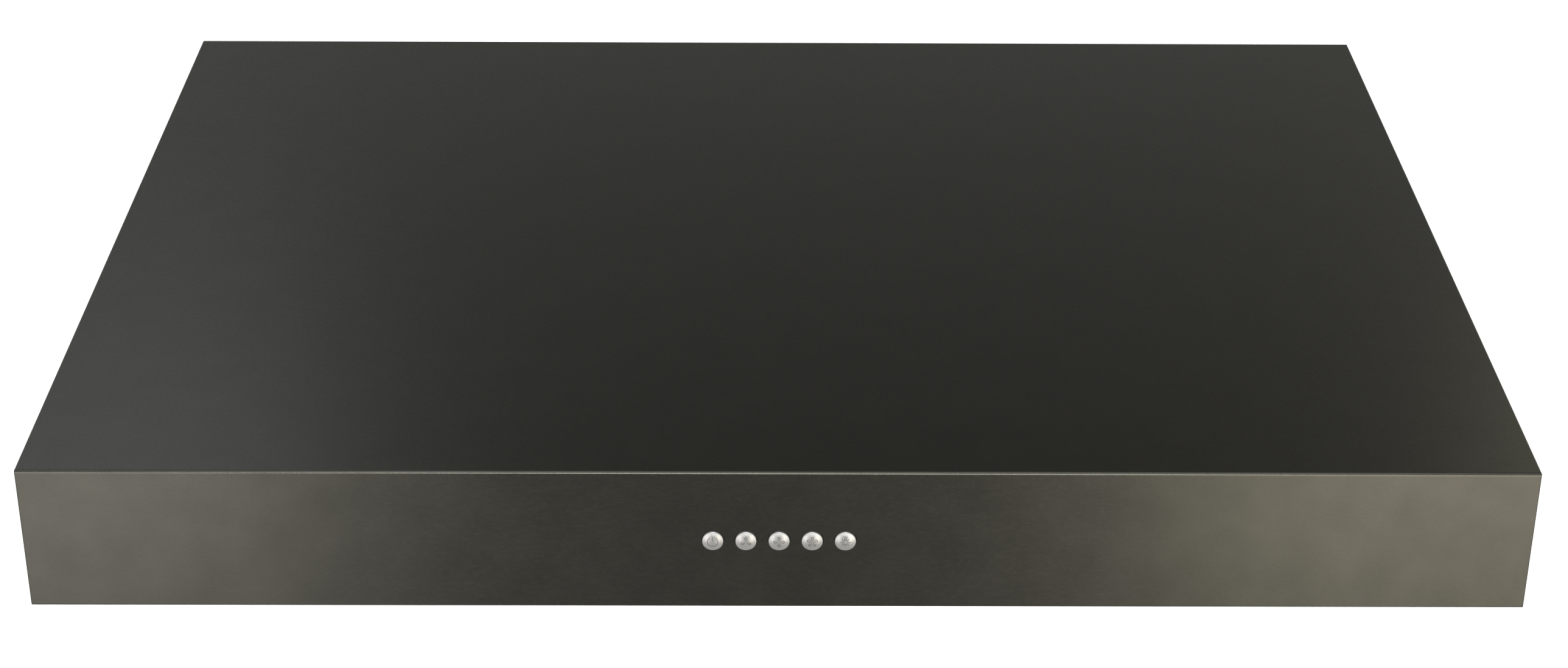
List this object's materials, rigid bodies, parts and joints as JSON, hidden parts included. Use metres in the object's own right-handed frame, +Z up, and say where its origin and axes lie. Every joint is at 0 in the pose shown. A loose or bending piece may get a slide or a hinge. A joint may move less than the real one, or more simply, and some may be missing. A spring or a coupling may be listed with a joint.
{
  "type": "under cabinet range hood",
  "caption": "Slim under cabinet range hood: dark folded canopy, push buttons, baffle filters, blower and a rear rectangular duct outlet.",
  "frame": {"origin": "centre of the flat top face, which seats against the underside of the cabinet", "axes": "+Z up into the cabinet, +Y towards the wall, +X to the right of a person facing the hood"},
  "size_m": [0.756, 0.599, 0.165],
  "materials": {
    "black_stainless": "satin black stainless with a very fine grain",
    "stainless": "satin stainless",
    "galvanised_steel": "dull zinc with faint spangle",
    "button_satin": "satin silver",
    "black_plastic": "fine moulded grain",
    "white_plastic": "fine moulded grain",
    "rubber": "matte",
    "motor_steel": "rolled steel can",
    "circuit_board": "solder mask",
    "lamp_glass": "frosted",
    "capacitor_sleeve": "satin can",
    "lead_sleeve": "matte sleeve"
  },
  "bodies": {
    "hood": {"canopy_shell": "black_stainless", "back_panel": "black_stainless", "liner_pan": "stainless", "lamp_bezel_left": "stainless", "lamp_bezel_right": "stainless", "damper_pin": "stainless", "collar_screw_left": "stainless", "collar_screw_right": "stainless", "spring_power": "stainless", "spring_low": "stainless", "spring_medium": "stainless", "spring_high": "stainless", "spring_light": "stainless", "mounting_rail_left": "galvanised_steel", "mounting_rail_right": "galvanised_steel", "blower_scroll": "galvanised_steel", "scroll_cover": "galvanised_steel", "transition_duct": "galvanised_steel", "duct_collar": "galvanised_steel", "switch_bracket": "galvanised_steel", "motor_bracket": "galvanised_steel", "control_box": "galvanised_steel", "control_box_cover": "galvanised_steel", "lamp_housing_left": "galvanised_steel", "lamp_housing_right": "galvanised_steel", "inlet_ring": "black_plastic", "switch_body": "black_plastic", "cable_gland": "black_plastic", "led_driver": "white_plastic", "terminal_block": "white_plastic", "motor_isolator_1": "rubber", "motor_isolator_2": "rubber", "motor_isolator_3": "rubber", "motor_body": "motor_steel", "switch_board": "circuit_board", "lamp_lens_left": "lamp_glass", "lamp_lens_right": "lamp_glass", "run_capacitor": "capacitor_sleeve", "switch_lead": "lead_sleeve", "lamp_lead_left": "lead_sleeve", "lamp_lead_right": "lead_sleeve", "motor_lead": "lead_sleeve"},
    "impeller": {"impeller": "black_plastic", "impeller_nut": "stainless", "motor_shaft": "stainless"},
    "damper": {"damper_flap": "galvanised_steel"},
    "left_filter": {"filter_frame_left": "stainless", "filter_baffles_left": "stainless", "filter_handle_left": "stainless"},
    "right_filter": {"filter_frame_right": "stainless", "filter_baffles_right": "stainless", "filter_handle_right": "stainless"},
    "left_latch": {"filter_latch_left": "black_plastic"},
    "right_latch": {"filter_latch_right": "black_plastic"},
    "tray": {"grease_tray": "stainless"},
    "power_button": {"button_power": "button_satin"},
    "low_button": {"button_low": "button_satin"},
    "medium_button": {"button_medium": "button_satin"},
    "high_button": {"button_high": "button_satin"},
    "light_button": {"button_light": "button_satin"}
  },
  "joints": [
    {"name": "impeller_spin", "type": "hinge", "parent": "hood", "child": "impeller", "pos_m": [-0.09, 0.04, -0.04], "axis": [0, 0, 1], "continuous": true},
    {"name": "damper_swing", "type": "hinge", "parent": "hood", "child": "damper", "pos_m": [0, 0.2855, -0.0272], "axis": [1, 0, 0], "range_deg": [0, 75]},
    {"name": "power_press", "type": "slide", "parent": "hood", "child": "power_button", "axis": [0, 1, 0], "range_m": [0, 0.003], "stiffness_N_per_m": 350, "springref_m": -0.002, "deforming": ["spring_power"]},
    {"name": "low_press", "type": "slide", "parent": "hood", "child": "low_button", "axis": [0, 1, 0], "range_m": [0, 0.003], "stiffness_N_per_m": 350, "springref_m": -0.002, "deforming": ["spring_low"]},
    {"name": "medium_press", "type": "slide", "parent": "hood", "child": "medium_button", "axis": [0, 1, 0], "range_m": [0, 0.003], "stiffness_N_per_m": 350, "springref_m": -0.002, "deforming": ["spring_medium"]},
    {"name": "high_press", "type": "slide", "parent": "hood", "child": "high_button", "axis": [0, 1, 0], "range_m": [0, 0.003], "stiffness_N_per_m": 350, "springref_m": -0.002, "deforming": ["spring_high"]},
    {"name": "light_press", "type": "slide", "parent": "hood", "child": "light_button", "axis": [0, 1, 0], "range_m": [0, 0.003], "stiffness_N_per_m": 350, "springref_m": -0.002, "deforming": ["spring_light"]},
    {"name": "left_filter_drop", "type": "hinge", "parent": "hood", "child": "left_filter", "pos_m": [-0.1785, 0.18984, -0.15822], "axis": [1, 0, 0], "range_deg": [0, 45]},
    {"name": "left_latch_slide", "type": "slide", "parent": "left_filter", "child": "left_latch", "axis": [0, 0.9771, -0.2127], "range_m": [0, 0.005], "stiffness_N_per_m": 300, "springref_m": -0.002},
    {"name": "right_filter_drop", "type": "hinge", "parent": "hood", "child": "right_filter", "pos_m": [0.1785, 0.18984, -0.15822], "axis": [1, 0, 0], "range_deg": [0, 45]},
    {"name": "right_latch_slide", "type": "slide", "parent": "right_filter", "child": "right_latch", "axis": [0, 0.9771, -0.2127], "range_m": [0, 0.005], "stiffness_N_per_m": 300, "springref_m": -0.002},
    {"name": "tray_drop", "type": "slide", "parent": "hood", "child": "tray", "axis": [0, 0, -1], "range_m": [0, 0.03]}
  ]
}
